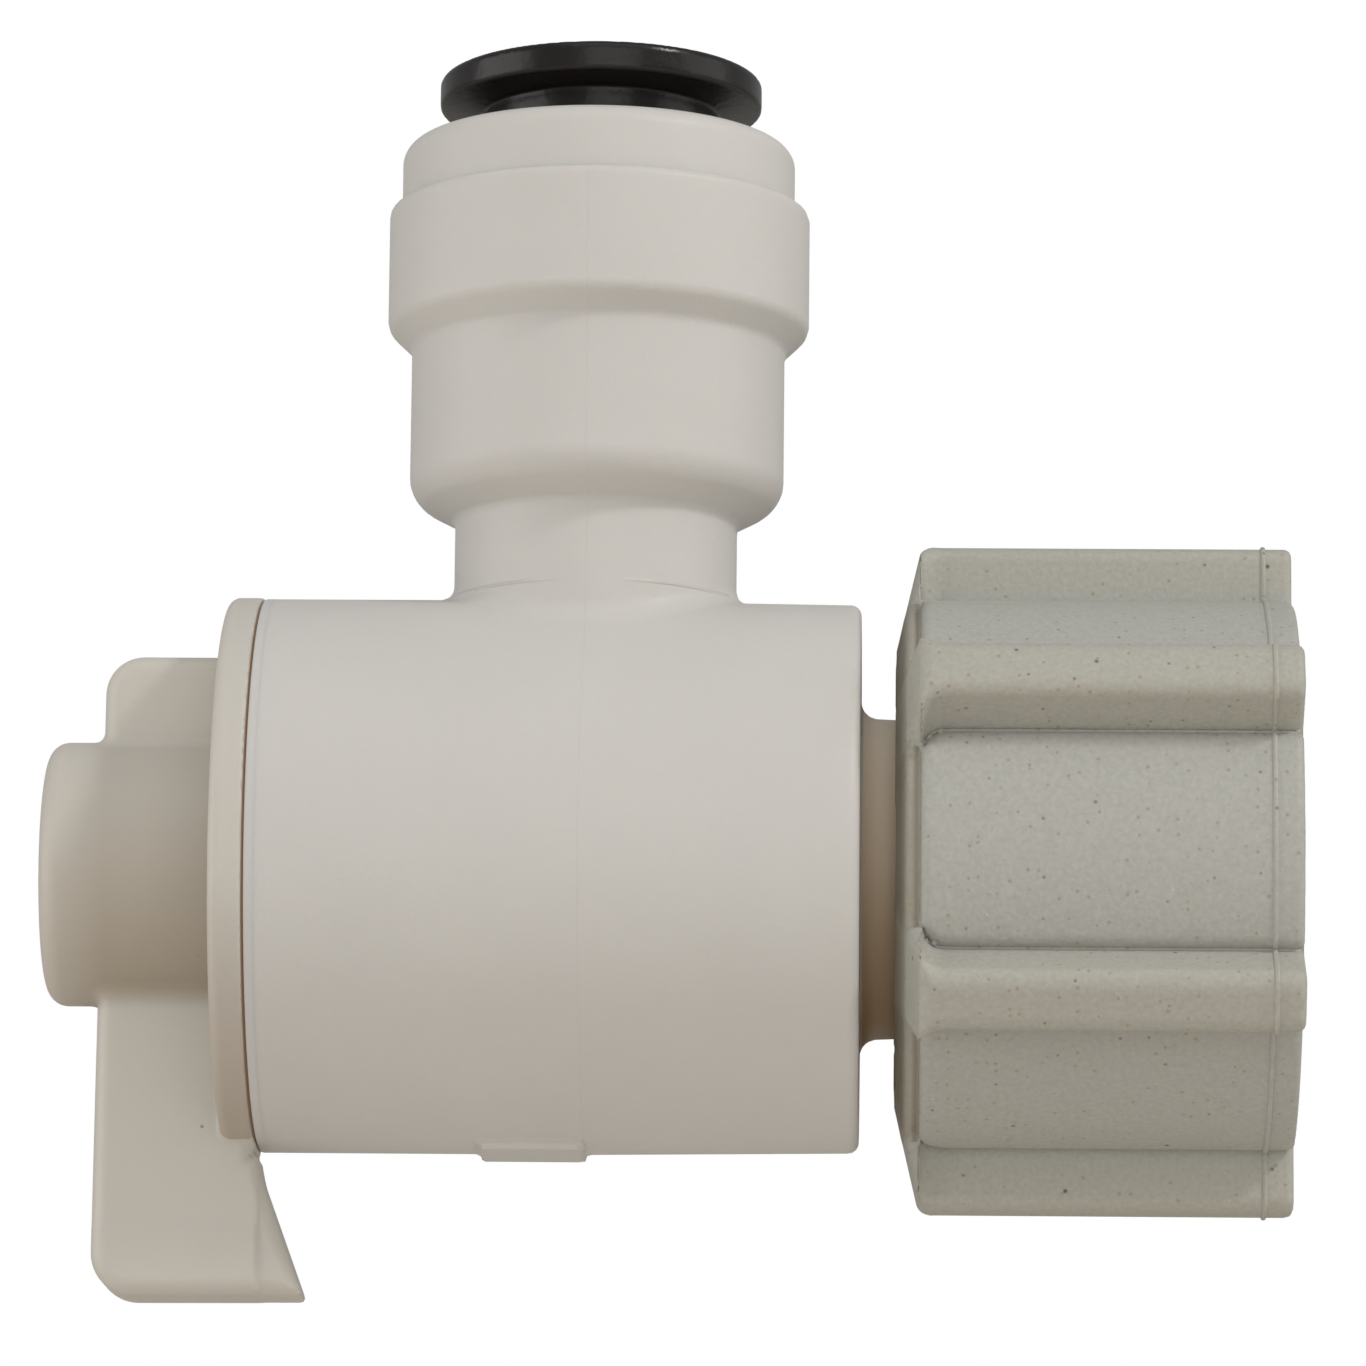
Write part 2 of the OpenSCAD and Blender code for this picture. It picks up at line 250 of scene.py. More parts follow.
def nut_field(x, y, z):
    """The swivel nut: six grip ridges between raised pads, and a female thread."""
    rho, angle = np.hypot(y, z), np.arctan2(z, -y)
    pitch = 2 * math.pi / RIDGES
    turn = np.mod(angle, pitch) - pitch / 2
    out, across = rho * np.cos(turn), rho * np.sin(turn)
    from_pad = rho * (pitch / 2 - np.abs(turn))
    mouth = x - nut_high[0]

    rim = slope(rho, x, (COLLAR_R, nut_low[0] + 0.45), (9.8, nut_low[0]))
    collar = common(rho - COLLAR_R, np.maximum(rim, nut_low[0] - x), 0.35)
    collar = np.maximum(collar, x - COLLAR_END)
    tile = common(from_pad - PAD_HALF, PAD_START - x, PAD_CORNER)
    off_dimple = (x - DIMPLE_AT) ** 2 + (PAD_R * (angle - math.pi / 3)) ** 2
    sink = DIMPLE_DEPTH * np.exp(-off_dimple / 0.5)
    pads = common(rho - PAD_R + sink, tile, PAD_EDGE)
    base = np.maximum(rho - BASE_R, BASE_START - x)
    curl = np.clip(16.45 - x, 0, RIDGE_FLARE)
    half = RIDGE_HALF + RIDGE_FLARE - np.sqrt(RIDGE_FLARE ** 2 - curl ** 2)
    ridge = common(0.8 * (np.abs(across) - half), out - RIDGE_R, 0.75)
    back = slope(rho, x, (15.2, 15.3), (10.7, nut_low[0]))
    ridge = common(ridge, back, 0.6)
    ridge = np.maximum(ridge, np.maximum(9 - rho, nut_low[0] - x))
    shell = union(union(collar, base, 0.1), pads, 0.1)
    shell = union(shell, ridge, 0.12)
    shell = common(shell, mouth, 0.35)

    phase = np.mod(x / THREAD_PITCH - np.arctan2(z, y) / (2 * math.pi), 1)
    tooth = np.clip(2.5 * np.abs(phase - 0.5) - 0.125, 0, 1)
    fade = step_up(x, 25.3, 0.8)
    radius = THREAD_ROOT - (THREAD_ROOT - THREAD_CREST) * tooth * fade
    radius = np.maximum(radius, THREAD_CREST + 1.1 + mouth)
    hollow = 0.75 * (rho - radius)
    hollow = np.maximum(hollow, THREAD_START - x)
    hollow = np.minimum(hollow, rho - REAR_HOLE_R)
    return common(shell, -hollow, 0.15)


def collet_field(x, y, z):
    """The release collet: a flange, a stem and slotted fingers."""
    rho = np.hypot(x, y)
    rim, top = collet_high[0], collet_high[2]
    flange = common(rho - rim, z - top, 0.3)
    flange = common(flange, slope(rho, z, (rim, top - 1.38), (STEM_R, top - 1.63)), 0.2)
    stem = np.maximum(rho - STEM_R, between(z, 28, top - 0.4))
    fingers = np.maximum(-slope(rho, z, (STEM_R, 33.0), (FINGER_R, 29.0)), rho - FINGER_R)
    fingers = np.maximum(fingers, between(z, collet_low[2], 34))
    solid = union(union(flange, stem, 0.15), fingers)
    bore = rho - COLLET_BORE_R - 0.6 * step_up(z, top - 0.7, 0.7)
    solid = common(solid, -bore, 0.12)
    groove = np.maximum(rho - 6.3, between(z, 28.2, 28.8))
    solid = np.maximum(solid, -groove)
    turn = np.mod(np.arctan2(y, x), math.pi / 3)
    turn = np.minimum(turn, math.pi / 3 - turn)
    slot = np.maximum(rho * np.sin(turn) - 0.5, z - 33.6)
    return common(solid, -slot, 0.15)


# ---- Meshes ----

def net(values):
    """Corner positions and quads of the zero surface of a grid of values."""
    inside = values < 0
    cells = tuple(n - 1 for n in values.shape)
    corners = [(i, j, k) for i in (0, 1) for j in (0, 1) for k in (0, 1)]
    count = np.zeros(cells, np.int8)
    for i, j, k in corners:
        count += inside[i:i + cells[0], j:j + cells[1], k:k + cells[2]]
    index = np.argwhere((count > 0) & (count < 8))
    number = np.full(cells, -1, np.int64)
    number[tuple(index.T)] = np.arange(len(index))
    place, hits = np.zeros((len(index), 3)), np.zeros(len(index))
    for start in corners:
        for axis in range(3):
            if start[axis]:
                continue
            step = np.eye(3, dtype=int)[axis]
            va = values[tuple((index + start).T)]
            vb = values[tuple((index + start + step).T)]
            crossed = (va < 0) != (vb < 0)
            share = np.where(crossed, va / np.where(crossed, va - vb, 1), 0)
            place += crossed[:, None] * (np.array(start) + share[:, None] * step)
            hits += crossed
    place = index + place / hits[:, None]
    quads = []
    for axis in range(3):
        step = np.eye(3, dtype=int)[axis]
        side, other = np.roll(step, 1), np.roll(step, 2)
        ends = tuple(slice(0, n - s) for n, s in zip(values.shape, step))
        starts = tuple(slice(s, None) for s in step)
        changed = inside[ends] != inside[starts]
        edge = np.argwhere(changed)
        edge = edge[(edge[:, step == 0] > 0).all(1)]
        ring = [edge, edge - side, edge - side - other, edge - other]
        faces = np.stack([number[tuple(cell.T)] for cell in ring], 1)
        outward = inside[tuple(edge.T)]
        faces[~outward] = faces[~outward][:, ::-1]
        quads.append(faces)
    return place, np.concatenate(quads)


def gradient(field, points, reach=0.01):
    """Slope of a field at points, by central differences."""
    columns = []
    for axis in range(3):
        shift = np.eye(3)[axis] * reach
        columns.append(field(*(points + shift).T) - field(*(points - shift).T))
    return np.stack(columns, 1) / (2 * reach)


def mesh_object(name, points, faces, normals=None):
    """An object from points in millimetres about the valve axis."""
    mesh = bpy.data.meshes.new(name)
    mesh.vertices.add(len(points))
    mesh.vertices.foreach_set("co", ((points + AXIS) * MM).astype(np.float32).ravel())
    sizes = [len(face) for face in faces]
    mesh.loops.add(sum(sizes))
    mesh.loops.foreach_set("vertex_index", np.concatenate(faces).astype(np.int32))
    mesh.polygons.add(len(faces))
    mesh.polygons.foreach_set("loop_start", np.cumsum([0] + sizes[:-1]).astype(np.int32))
    mesh.update(calc_edges=True)
    mesh.validate()
    mesh.shade_smooth()
    if normals is None:
        mesh.set_sharp_from_angle(angle=math.radians(40))
    else:
        mesh.normals_split_custom_set_from_vertices(normals.tolist())
    piece = bpy.data.objects.new(name, mesh)
    bpy.context.scene.collection.objects.link(piece)
    return piece


def skin(name, field, low, high, step):
    """Skins a distance field: a regular net, drawn on to the true surface."""
    axes = [np.arange(a - 2.3 * step, b + 2.5 * step, step) for a, b in zip(low, high)]
    grid = np.meshgrid(*axes, indexing="ij", sparse=True)
    values = np.broadcast_to(field(*grid), [len(axis) for axis in axes])
    place, quads = net(values)
    points = place * step + np.array([axis[0] for axis in axes])
    for _ in range(4):
        rise = gradient(field, points)
        size = np.maximum((rise ** 2).sum(1), 0.25)
        move = (field(*points.T) / size)[:, None] * rise
        reach = np.maximum(np.linalg.norm(move, axis=1, keepdims=True) / (0.5 * step), 1)
        points = points - move / reach
    normals = gradient(field, points)
    normals /= np.maximum(np.linalg.norm(normals, axis=1, keepdims=True), 1e-6)
    return mesh_object(name, points, list(quads), normals)


def arc(a, b, radius, start, end, steps=8):
    """Points of an arc, for an outline's rounded corner."""
    angles = np.radians(np.linspace(start, end, steps + 1))
    return [(a + radius * math.cos(t), b + radius * math.sin(t)) for t in angles]


def lathe(name, outline, axis, steps=160):
    """A ring turned about X or Z from a closed outline of (radius, station)."""
    outline = np.array(outline)
    turns = np.linspace(0, 2 * math.pi, steps, endpoint=False)
    radius, station = outline[:, 0][:, None], outline[:, 1][:, None] + 0 * turns
    u, v = radius * np.cos(turns), radius * np.sin(turns)
    columns = (u, v, station) if axis == "Z" else (station, u, v)
    points = np.stack(columns, 2).reshape(-1, 3)
    count = len(outline)
    faces = []
    for i in range(count):
        j = (i + 1) % count
        for k in range(steps):
            m = (k + 1) % steps
            faces.append((i * steps + k, j * steps + k, j * steps + m, i * steps + m))
    return mesh_object(name, points, faces)


def bead(name, field, station, radius, steps=1500, sides=8):
    """A thin raised line around X, on a field's outside at one station."""
    angles = np.linspace(0, 2 * math.pi, steps, endpoint=False)
    reach = np.linspace(17, 11, 601)
    y = -np.cos(angles)[:, None] * reach
    z = np.sin(angles)[:, None] * reach
    values = field(np.full_like(y, station), y, z)
    first = np.argmax(values < 0, axis=1)
    rows = np.arange(steps)
    before, after = values[rows, first - 1], values[rows, first]
    rho = reach[first - 1] + (reach[first] - reach[first - 1]) * before / (before - after)
    centre = np.stack([np.full(steps, station), -np.cos(angles) * rho, np.sin(angles) * rho], 1)
    normal = gradient(field, centre)
    normal /= np.linalg.norm(normal, axis=1, keepdims=True)
    around = np.linspace(0, 2 * math.pi, sides, endpoint=False)
    points = (centre[:, None] + radius * (np.cos(around)[:, None] * normal[:, None]
              + np.sin(around)[:, None] * np.array([1.0, 0, 0]))).reshape(-1, 3)
    faces = []
    for i in range(steps):
        j = (i + 1) % steps
        for k in range(sides):
            m = (k + 1) % sides
            faces.append((i * sides + k, i * sides + m, j * sides + m, j * sides + k))
    return mesh_object(name, points, faces)


# ---- Materials ----

class Shader:
    """A material's node tree, with short calls for the nodes used here."""

    def __init__(self, name, color, roughness, **sockets):
        self.material = bpy.data.materials.new(name)
        self.material.use_nodes = True
        self.tree = self.material.node_tree
        self.surface = self.tree.nodes["Principled BSDF"]
        self.surface.inputs["Base Color"].default_value = (*color, 1)
        self.surface.inputs["Roughness"].default_value = roughness
        for socket, value in sockets.items():
            self.surface.inputs[socket.replace("_", " ")].default_value = value
        self.place = self.add("ShaderNodeTexCoord").outputs["Object"]

    def add(self, kind, inputs=(), **settings):
        """One node, with its settings and what goes into its sockets."""
        node = self.tree.nodes.new(kind)
        for setting, value in settings.items():
            setattr(node, setting, value)
        for socket, value in dict(inputs).items():
            if isinstance(value, bpy.types.NodeSocket):
                self.tree.links.new(value, node.inputs[socket])
            else:
                node.inputs[socket].default_value = value
        return node

    def math(self, operation, a, b=0.0):
        """Result of one Math node."""
        return self.add("ShaderNodeMath", {0: a, 1: b}, operation=operation).outputs[0]

    def noise(self, size, detail=2.0):
        """Noise whose marks are about size millimetres across."""
        return self.add("ShaderNodeTexNoise", {
            "Vector": self.place, "Scale": 1 / (size * MM), "Detail": detail}).outputs["Fac"]

    def specks(self, cell, radius, share):
        """1 in sparse round specks. Cell and radius are millimetres, share is how many cells."""
        cells = self.add("ShaderNodeTexVoronoi", {"Vector": self.place, "Scale": 1 / (cell * MM)})
        chosen = self.math("LESS_THAN", self.add("ShaderNodeSeparateColor", {
            "Color": cells.outputs["Color"]}).outputs[0], share)
        spread = self.add("ShaderNodeMapRange", {
            "Value": cells.outputs["Distance"], "From Min": 0.3 * radius / cell,
            "From Max": radius / cell, "To Min": 1.0, "To Max": 0.0}).outputs["Result"]
        return self.math("MULTIPLY", spread, chosen)

    def ramp(self, value, start, end, low=0.0):
        """Rises evenly from low to 1 as value (metres) goes from start to end (millimetres)."""
        return self.add("ShaderNodeMapRange", {
            "Value": value, "From Min": start * MM, "From Max": end * MM,
            "To Min": low}).outputs["Result"]

    def from_axis(self, y, z):
        """Distance from the barrel's axis."""
        squares = [self.math("MULTIPLY", side, side) for side in (y, z)]
        return self.math("SQRT", self.math("ADD", *squares))

    def mix(self, factor, a, b):
        """Colour a where factor is 0, b where it is 1."""
        node = self.add("ShaderNodeMix", {"Factor": factor}, data_type="RGBA")
        for socket, value in (("A_Color", a), ("B_Color", b)):
            target = next(s for s in node.inputs if s.identifier == socket)
            if isinstance(value, bpy.types.NodeSocket):
                self.tree.links.new(value, target)
            else:
                target.default_value = (*value, 1)
        return next(s for s in node.outputs if s.identifier == "Result_Color")

    def paint(self, color):
        """Drives the base colour with a socket."""
        self.tree.links.new(color, self.surface.inputs["Base Color"])

    def bump(self, height, depth, strength=1.0):
        """Raises the surface by height times depth millimetres."""
        before = self.surface.inputs["Normal"]
        inputs = {"Height": height, "Distance": depth * MM, "Strength": strength}
        if before.is_linked:
            inputs["Normal"] = before.links[0].from_socket
        self.tree.links.new(self.add("ShaderNodeBump", inputs).outputs["Normal"], before)

    def ridge_at(self, value, centre, width):
        """1 where value (metres) is centre millimetres, 0 beyond half of width."""
        off = self.math("ABSOLUTE", self.math("SUBTRACT", value, centre * MM))
        return self.add("ShaderNodeMapRange", {
            "Value": off, "From Min": 0.0, "From Max": width / 2 * MM,
            "To Min": 1.0, "To Max": 0.0}, interpolation_type="SMOOTHSTEP").outputs["Result"]


def moulded(name, color, roughness, speck_share, **sockets):
    """Moulded plastic: faint clouds, fine grain, and a few dark specks."""
    shader = Shader(name, color, roughness, Subsurface_Weight=0.25, Subsurface_Scale=MM, **sockets)
    shader.surface.inputs["Subsurface Radius"].default_value = (1.0, 0.7, 0.45)
    shade = tuple(0.94 * c for c in color)
    tint = shader.mix(shader.noise(6, 3.0), color, shade)
    brown = tuple(c * k for c, k in zip(color, (0.42, 0.30, 0.20)))
    tint = shader.mix(shader.specks(3.4, 0.11, speck_share), tint, brown)
    shader.paint(tint)
    shader.bump(shader.noise(0.22, 2.0), 0.012)
    shader.bump(shader.noise(2.6, 2.0), 0.03)
    return shader


def body_material():
    """Off-white body plastic with its mould lines, painted warm shade on the stub, and painted
    shade on the barrel's end in the gap by the disc.
    """
    shader = moulded("body_plastic", (0.66, 0.64, 0.605), 0.45, 0.14, Specular_IOR_Level=0.35)
    x, _, z = shader.add("ShaderNodeSeparateXYZ", {"Vector": shader.place}).outputs
    tint = shader.surface.inputs["Base Color"].links[0].from_socket
    # Painted warm shade on the stub and spigot beyond the barrel: lighter at the top, darker
    # towards the bottom
    on_stub = shader.math("GREATER_THAN", x, (AXIS[0] + BARREL_RIGHT + 0.12) * MM)
    tan = shader.mix(shader.ramp(z, 7, -7), (0.95, 0.83, 0.67), (0.46, 0.31, 0.18))
    tint = shader.mix(on_stub, tint, tan)
    # Painted shade on the barrel's left end, seen in the narrow gap by the disc
    end_gap_shade = shader.math("LESS_THAN", x, (AXIS[0] + BARREL_LEFT + 0.03) * MM)
    shader.paint(shader.mix(end_gap_shade, tint, (0.30, 0.17, 0.09)))

    # Parting line round the middle, up to the cap
    below_cap = shader.math("LESS_THAN", z, (RING_TOP + 0.01) * MM)
    parting = shader.ridge_at(x, AXIS[0] - 0.15, 0.14)
    shader.bump(shader.math("MULTIPLY", below_cap, parting), 0.012)

    # Crease across the foot of the neck, fading towards its middle
    aside = shader.math("ABSOLUTE", shader.math("SUBTRACT", x, AXIS[0] * MM))
    on_neck = shader.math("LESS_THAN", aside, 6.4 * MM)
    crease = shader.math("MULTIPLY", shader.ramp(aside, 1.2, 3.2), on_neck)
    shader.bump(shader.math("MULTIPLY", shader.ridge_at(z, 13.0, 0.22), crease), 0.05)
    return shader.material


def handle_material():
    """Creamier plastic of the handle, browner with painted shade round the hub (partly the stem
    showing through), on the lower rim of the disc and in the gap where the disc meets the barrel.
    """
    shader = moulded("handle_plastic", (0.63, 0.60, 0.54), 0.45, 0.12)
    x, y, z = shader.add("ShaderNodeSeparateXYZ", {"Vector": shader.place}).outputs
    tint = shader.surface.inputs["Base Color"].links[0].from_socket
    rho = shader.from_axis(y, z)

    # Painted shade round the hub, partly the darker stem showing through: darker towards the
    # bottom, fading towards the lit left end, and spilling on to the lever as the hub's shadow
    off_disc = shader.math("LESS_THAN", x, (AXIS[0] + DISC_LEFT) * MM)
    hub_shade_and_stem = shader.math("MULTIPLY", shader.ramp(rho, HUB_R + 0.9, HUB_R + 0.1), off_disc)
    inward = shader.ramp(x, AXIS[0] - 25.4, AXIS[0] - 22.5, 0.2)
    hub_shade_and_stem = shader.math("MULTIPLY", hub_shade_and_stem, inward)
    hub_shade_and_stem = shader.math("MULTIPLY", hub_shade_and_stem, shader.ramp(z, 6, -7, 0.1))
    tint = shader.mix(hub_shade_and_stem, tint, (0.42, 0.36, 0.28))

    # Painted shade on the lower rim of the disc, darker towards the bottom
    off_lever = shader.math("GREATER_THAN", shader.math("ABSOLUTE", y), 2.6 * MM)
    rim_shade = shader.math("MULTIPLY", shader.math("GREATER_THAN", rho, 12.4 * MM), off_lever)
    rim_shade = shader.math("MULTIPLY", rim_shade, shader.ramp(z, -2, -12))
    tint = shader.mix(rim_shade, tint, (0.47, 0.41, 0.345))

    # Painted shade on the lip's end, in the narrow gap where the disc meets the barrel
    past_disc = shader.math("GREATER_THAN", x, (AXIS[0] + DISC_RIGHT + 0.005) * MM)
    on_lip = shader.math("LESS_THAN", rho, (LIP_R + 0.05) * MM)
    shader.paint(shader.mix(shader.math("MULTIPLY", on_lip, past_disc), tint, (0.34, 0.19, 0.10)))
    return shader.material


def speckled_material():
    """Greenish grey plastic of the nut, full of fine brown and dark specks, with painted shade
    below the pads and at the foot of the pads' ends.
    """
    shader = Shader("nut_plastic", (0.44, 0.44, 0.40), 0.5, Specular_IOR_Level=0.35)
    x, y, z = shader.add("ShaderNodeSeparateXYZ", {"Vector": shader.place}).outputs
    rho = shader.from_axis(y, z)

    from_pads = shader.math("ABSOLUTE", shader.math("SUBTRACT", rho, PAD_R * MM))
    mottle = shader.add("ShaderNodeMapRange", {
        "Value": shader.noise(0.25, 4.0), "From Min": 0.30, "From Max": 0.70}).outputs["Result"]
    tint = shader.mix(mottle, (0.475, 0.475, 0.43), (0.415, 0.415, 0.374))
    olive = shader.mix(mottle, (0.475, 0.464, 0.405), (0.415, 0.404, 0.345))
    tint = shader.mix(shader.ramp(from_pads, 0.1, 0.8), tint, olive)

    # Painted shade on everything that lies below the pads: the low strips round them, the nut's
    # ends and its bore
    groove = shader.ramp(rho, 12.85, 12.3)
    tint = shader.mix(shader.math("MULTIPLY", groove, 0.6), tint, (0.30, 0.265, 0.20))
    # Painted shadow in a band at the foot of each pad's end wall
    below_pad = shader.math("LESS_THAN", rho, 12.95 * MM)
    pad_end_shade = shader.math("MULTIPLY", shader.ridge_at(x, AXIS[0] + 15.2, 0.5), below_pad)
    tint = shader.mix(shader.math("MULTIPLY", pad_end_shade, 0.7), tint, (0.25, 0.215, 0.16))

    for cell, radius, share, color in [
        (0.45, 0.12, 0.30, (0.36, 0.31, 0.22)),
        (0.7, 0.11, 0.16, (0.24, 0.21, 0.17)),
        (1.2, 0.14, 0.20, (0.12, 0.105, 0.09)),
        (0.6, 0.10, 0.05, (0.54, 0.535, 0.49)),
    ]:
        tint = shader.mix(shader.specks(cell, radius, share), tint, color)
    shader.paint(tint)
    shader.bump(shader.noise(0.18, 3.0), 0.02)
    shader.bump(shader.noise(1.6, 2.0), 0.03)
    return shader.material


def glossy_black_material():
    """Smooth black plastic of the collet."""
    shader = Shader("collet_plastic", (0.012, 0.010, 0.010), 0.25, Specular_IOR_Level=0.33)
    shader.paint(shader.mix(shader.noise(1.5), (0.010, 0.009, 0.009), (0.016, 0.013, 0.012)))
    shader.bump(shader.noise(0.5, 3.0), 0.02)
    return shader.material


def rubber_material(name):
    """Dull black rubber, for seals and the washer."""
    shader = Shader(name, (0.03, 0.03, 0.03), 0.65)
    shader.paint(shader.mix(shader.noise(0.8), (0.022, 0.022, 0.022), (0.035, 0.035, 0.034)))
    shader.bump(shader.noise(0.2), 0.01)
    return shader.material


def steel_material():
    """Brushed stainless steel of the screw and the teeth."""
    shader = Shader("stainless", (0.62, 0.61, 0.59), 0.32, Metallic=1.0)
    shader.paint(shader.mix(shader.noise(0.7), (0.64, 0.63, 0.61), (0.54, 0.53, 0.52)))
    shader.bump(shader.noise(0.12, 3.0), 0.006)
    return shader.material


MATERIALS = {
    "body_plastic": body_material(),
    "handle_plastic": handle_material(),
    "nut_plastic": speckled_material(),
    "collet_plastic": glossy_black_material(),
    "inner_plastic": moulded("inner_plastic", (0.66, 0.65, 0.62), 0.4, 0.0).material,
    "ball_plastic": moulded("ball_plastic", (0.70, 0.69, 0.66), 0.25, 0.0).material,
    "seat_plastic": moulded("seat_plastic", (0.78, 0.78, 0.76), 0.4, 0.0).material,
    "seal_rubber": rubber_material("seal_rubber"),
    "washer_rubber": rubber_material("washer_rubber"),
    "stainless": steel_material(),
}


def finish_piece(piece, body, slot, *nodes):
    """Gives a piece its material and the body it rides on, and hides the CAD nodes it stands for.
    """
    piece.data.materials.clear()
    piece.data.materials.append(MATERIALS[slot])
    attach(piece, body)
    if nodes:
        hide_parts(*nodes)


# ---- Pieces ----

def tilt_collet(piece):
    """Leans the loose collet a little in its cap, with its front up."""
    pivot = Matrix.Translation(((AXIS + COLLET_PIVOT) * MM).tolist())
    lean_x, lean_y = (Matrix.Rotation(a, 4, axis) for a, axis in zip(COLLET_LEAN, "XY"))
    piece.data.transform(pivot @ lean_x @ lean_y @ pivot.inverted())


def build_shells():
    """The four mouldings with fillets that show, each skinned from its field."""
    shells = [
        ("body_shell", body_field, body_low, body_high, BODY_STEP, "valve",
         "body_plastic", "valve_body"),
        ("handle_shell", handle_field, handle_low, handle_high, HANDLE_STEP, "handle",
         "handle_plastic", "handle"),
        ("nut_shell", nut_field, nut_low, nut_high, NUT_STEP, "nut",
         "nut_plastic", "swivel_nut"),
        ("collet_shell", collet_field, collet_low, collet_high, COLLET_STEP, "collet",
         "collet_plastic", "collet"),
    ]
    for name, field, low, high, step, body, slot, node in shells:
        piece = skin(name, field, low, high, step)
        if name == "collet_shell":
            tilt_collet(piece)
        finish_piece(piece, body, slot, node)
    finish_piece(bead("nut_flash", nut_field, FLASH_AT, FLASH_R), "nut", "nut_plastic")


def build_turned():
    """The cap, the hub's plug, the rims where disc and barrel meet, and the washer."""
    radius, _, top = box_mm("port_cap")[1]
    outline = [(CAP_SOCKET_R, 26.4), (CAP_SOCKET_R, 29.5)]
    outline += [(CAP_MOUTH_R, 33.4), (CAP_MOUTH_R, top - 0.7)]
    outline += arc(6.75, top - 0.35, 0.35, 180, 90, 5)
    outline += arc(radius - 0.95, top - 0.95, 0.95, 90, 0, 12)
    outline += [(radius, RING_TOP + 0.03), (7.96, RING_TOP + 0.03), (7.96, 26.4)]
    cap = lathe("cap_shell", outline, "Z")
    cap.data.transform(Matrix.Translation((CAP_SHIFT * MM, 0, 0)))
    finish_piece(cap, "valve", "body_plastic", "port_cap")

    low, high = box_mm("handle_plug")
    outline = [(0.001, low[0])] + arc(high[2] - 0.25, low[0] + 0.25, 0.25, 270, 360, 4)
    outline += [(high[2], high[0]), (0.001, high[0])]
    finish_piece(lathe("plug_shell", outline, "X"), "handle", "handle_plastic", "handle_plug")

    start, end = DISC_RIGHT - 0.3, BARREL_LEFT - 0.01
    outline = [(12.3, start), (LIP_R, start), (LIP_R, end), (12.3, end)]
    finish_piece(lathe("disc_lip", outline, "X"), "handle", "handle_plastic")

    start, end = BARREL_LEFT, BARREL_LEFT + 0.9
    outline = [(12.2, start)] + arc(BARREL_R - 0.12, start + 0.12, 0.12, 270, 360, 4)
    outline += [(BARREL_R + 0.003, start + 0.3), (BARREL_R - 0.008, end), (12.2, end)]
    finish_piece(lathe("barrel_rim", outline, "X", 320), "valve", "body_plastic")

    low, high = box_mm("cone_washer")
    outline = [(5.05, low[0]), (9.0, low[0])] + arc(8.75, high[0] - 1.35, 0.25, 0, 60, 3)
    outline += arc(8.2, high[0] - 0.25, 0.25, 60, 90, 3) + arc(5.3, high[0] - 0.25, 0.25, 90, 180)
    finish_piece(lathe("washer_shell", outline, "X"), "valve", "washer_rubber", "cone_washer")


def finish_nodes():
    """Gives every CAD node that is still shown its procedural material."""
    slots = {part["node"]: part["material_slot"] for part in frame["record"]["subparts"]}
    for name, node in frame["nodes"].items():
        node.data.materials.clear()
        node.data.materials.append(MATERIALS[slots[name]])


# ---- Camera, light and floor ----

# Angles in degrees, lengths in millimetres, the floor in metres
VIEW_AZIMUTH, VIEW_ELEVATION, VIEW_ROLL = map(math.radians, (1.5, -10.6, 0.593))
VIEW_DISTANCE = 377.0
VIEW_TARGET = (4.185, 0.0, 9.329)
VIEW_WIDTH = 64.43
SENSOR = 36.0
FLOOR_SIZE, FLOOR_HEIGHT = 3.0, -0.11


def point_at(place, target):
    """Turn that looks from place to target, with +Z up."""
    return (Vector(target) - Vector(place)).to_track_quat("-Z", "Y").to_matrix().to_4x4()


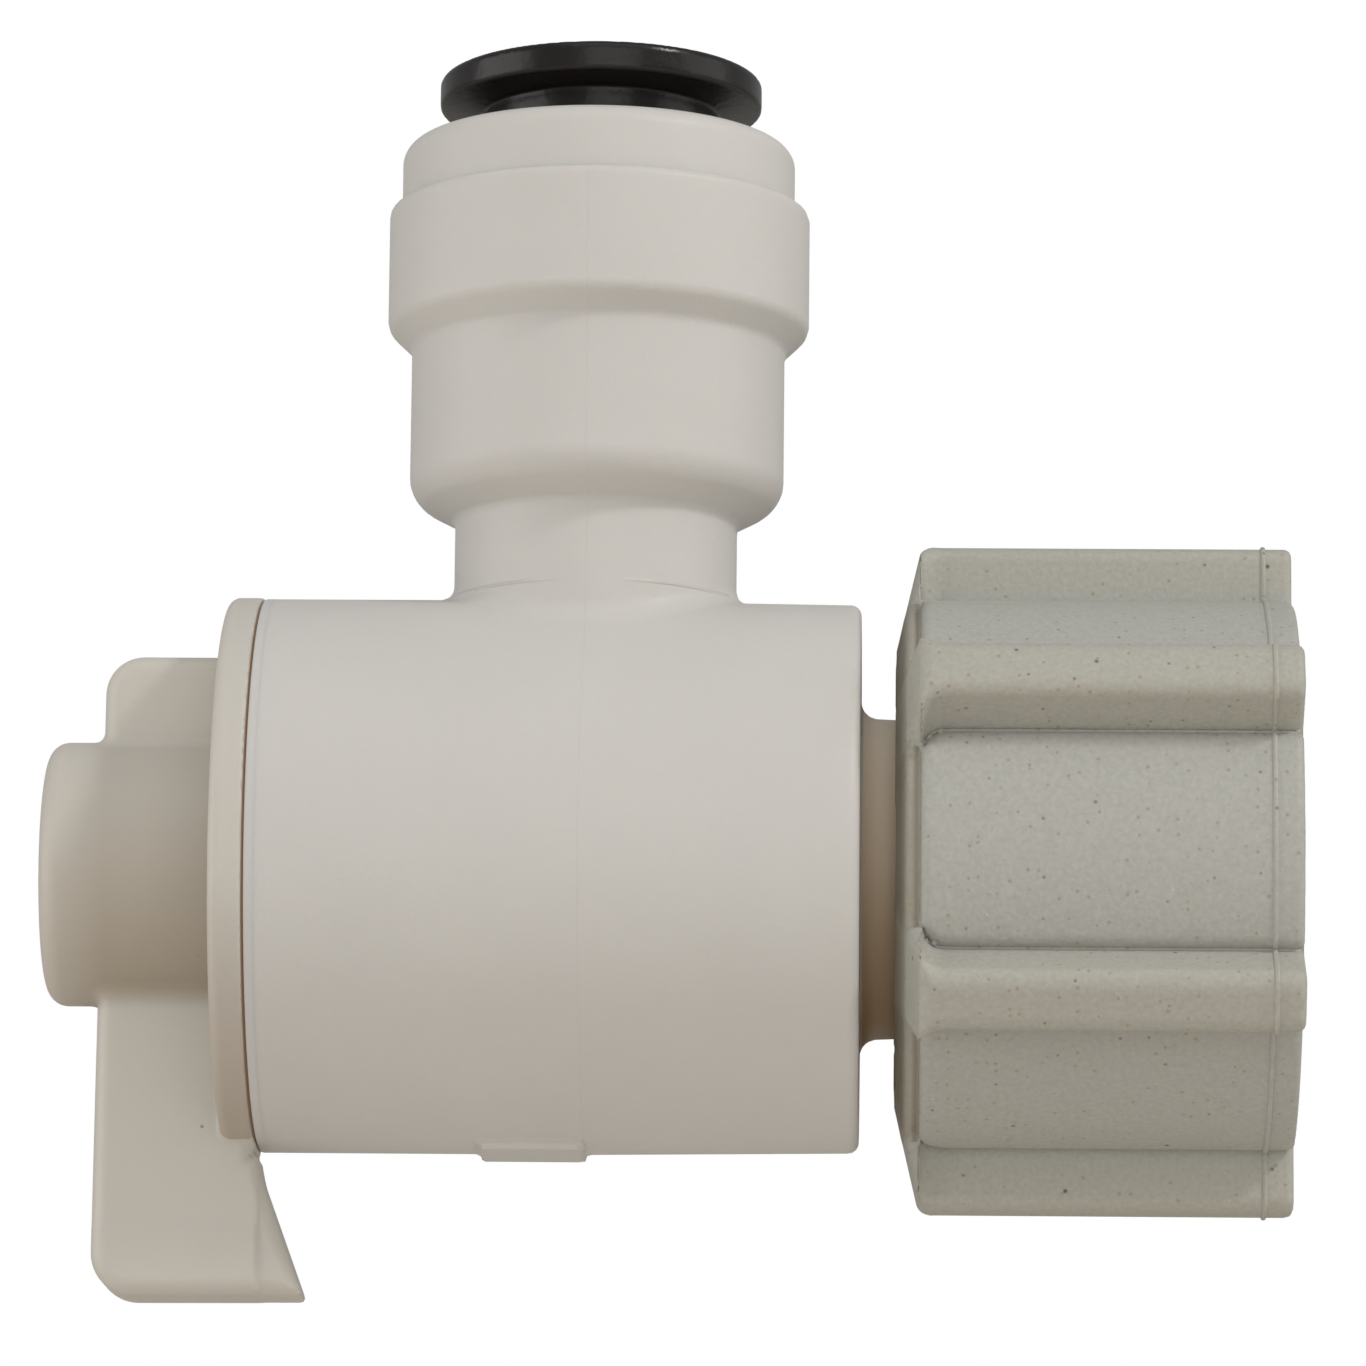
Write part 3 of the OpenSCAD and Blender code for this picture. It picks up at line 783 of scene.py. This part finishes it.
def build_camera():
    """A long lens in front of the valve, a little below it."""
    target = (np.array(VIEW_TARGET) + AXIS) * MM
    flat = math.cos(VIEW_ELEVATION)
    away = np.array([math.sin(VIEW_AZIMUTH) * flat, -math.cos(VIEW_AZIMUTH) * flat,
                     math.sin(VIEW_ELEVATION)])
    place = target + away * VIEW_DISTANCE * MM
    data = bpy.data.cameras.new("camera")
    data.sensor_width = SENSOR
    data.lens = SENSOR * VIEW_DISTANCE / VIEW_WIDTH
    data.clip_start = 0.01
    camera = bpy.data.objects.new("camera", data)
    roll = Matrix.Rotation(VIEW_ROLL, 4, "Z")
    camera.matrix_world = Matrix.Translation(place) @ point_at(place, target) @ roll
    bpy.context.scene.collection.objects.link(camera)
    bpy.context.scene.camera = camera


def area_light(name, place, size, power, color):
    """A square soft light, placed in millimetres from the valve axis and aimed at it."""
    data = bpy.data.lights.new(name, "AREA")
    data.size = size * MM
    data.energy = power
    data.color = color
    light = bpy.data.objects.new(name, data)
    light.matrix_world = Matrix.Translation(Vector(place) * MM) @ point_at(place, (0, 0, 10))
    bpy.context.scene.collection.objects.link(light)


def build_stage():
    """Soft lights, an even room that the camera sees as white, and a pale paper floor."""
    neutral, warm = (1.0, 0.99, 0.98), (1.0, 0.985, 0.97)
    area_light("key", (316, -248, 326), 60, 0.72, neutral)
    area_light("top", (0, -300, 410), 400, 0.36, neutral)
    area_light("front", (40, -430, 60), 300, 0.33, neutral)
    area_light("left", (-400, -110, 60), 300, 0.48, warm)
    area_light("right", (400, -60, 100), 300, 0.26, warm)

    world = bpy.data.worlds.new("studio")
    world.use_nodes = True
    tree = world.node_tree
    room = tree.nodes["Background"]
    room.inputs["Color"].default_value = (0.99, 0.99, 1.0, 1)
    room.inputs["Strength"].default_value = 0.34
    seen = tree.nodes.new("ShaderNodeBackground")
    seen.inputs["Color"].default_value = (1, 1, 1, 1)
    path = tree.nodes.new("ShaderNodeLightPath")
    either = tree.nodes.new("ShaderNodeMixShader")
    tree.links.new(path.outputs["Is Camera Ray"], either.inputs[0])
    tree.links.new(room.outputs[0], either.inputs[1])
    tree.links.new(seen.outputs[0], either.inputs[2])
    tree.links.new(either.outputs[0], tree.nodes["World Output"].inputs["Surface"])
    bpy.context.scene.world = world
    bpy.context.scene.view_settings.view_transform = "Standard"

    bpy.ops.mesh.primitive_plane_add(size=FLOOR_SIZE, location=(0, 0, FLOOR_HEIGHT))
    floor = bpy.context.object
    floor.name = "floor"
    paper = Shader("floor_paper", (0.80, 0.75, 0.68), 0.8)
    paper.bump(paper.noise(3.0), 0.02)
    floor.data.materials.append(paper.material)


finish_nodes()
build_shells()
build_turned()
build_camera()
build_stage()
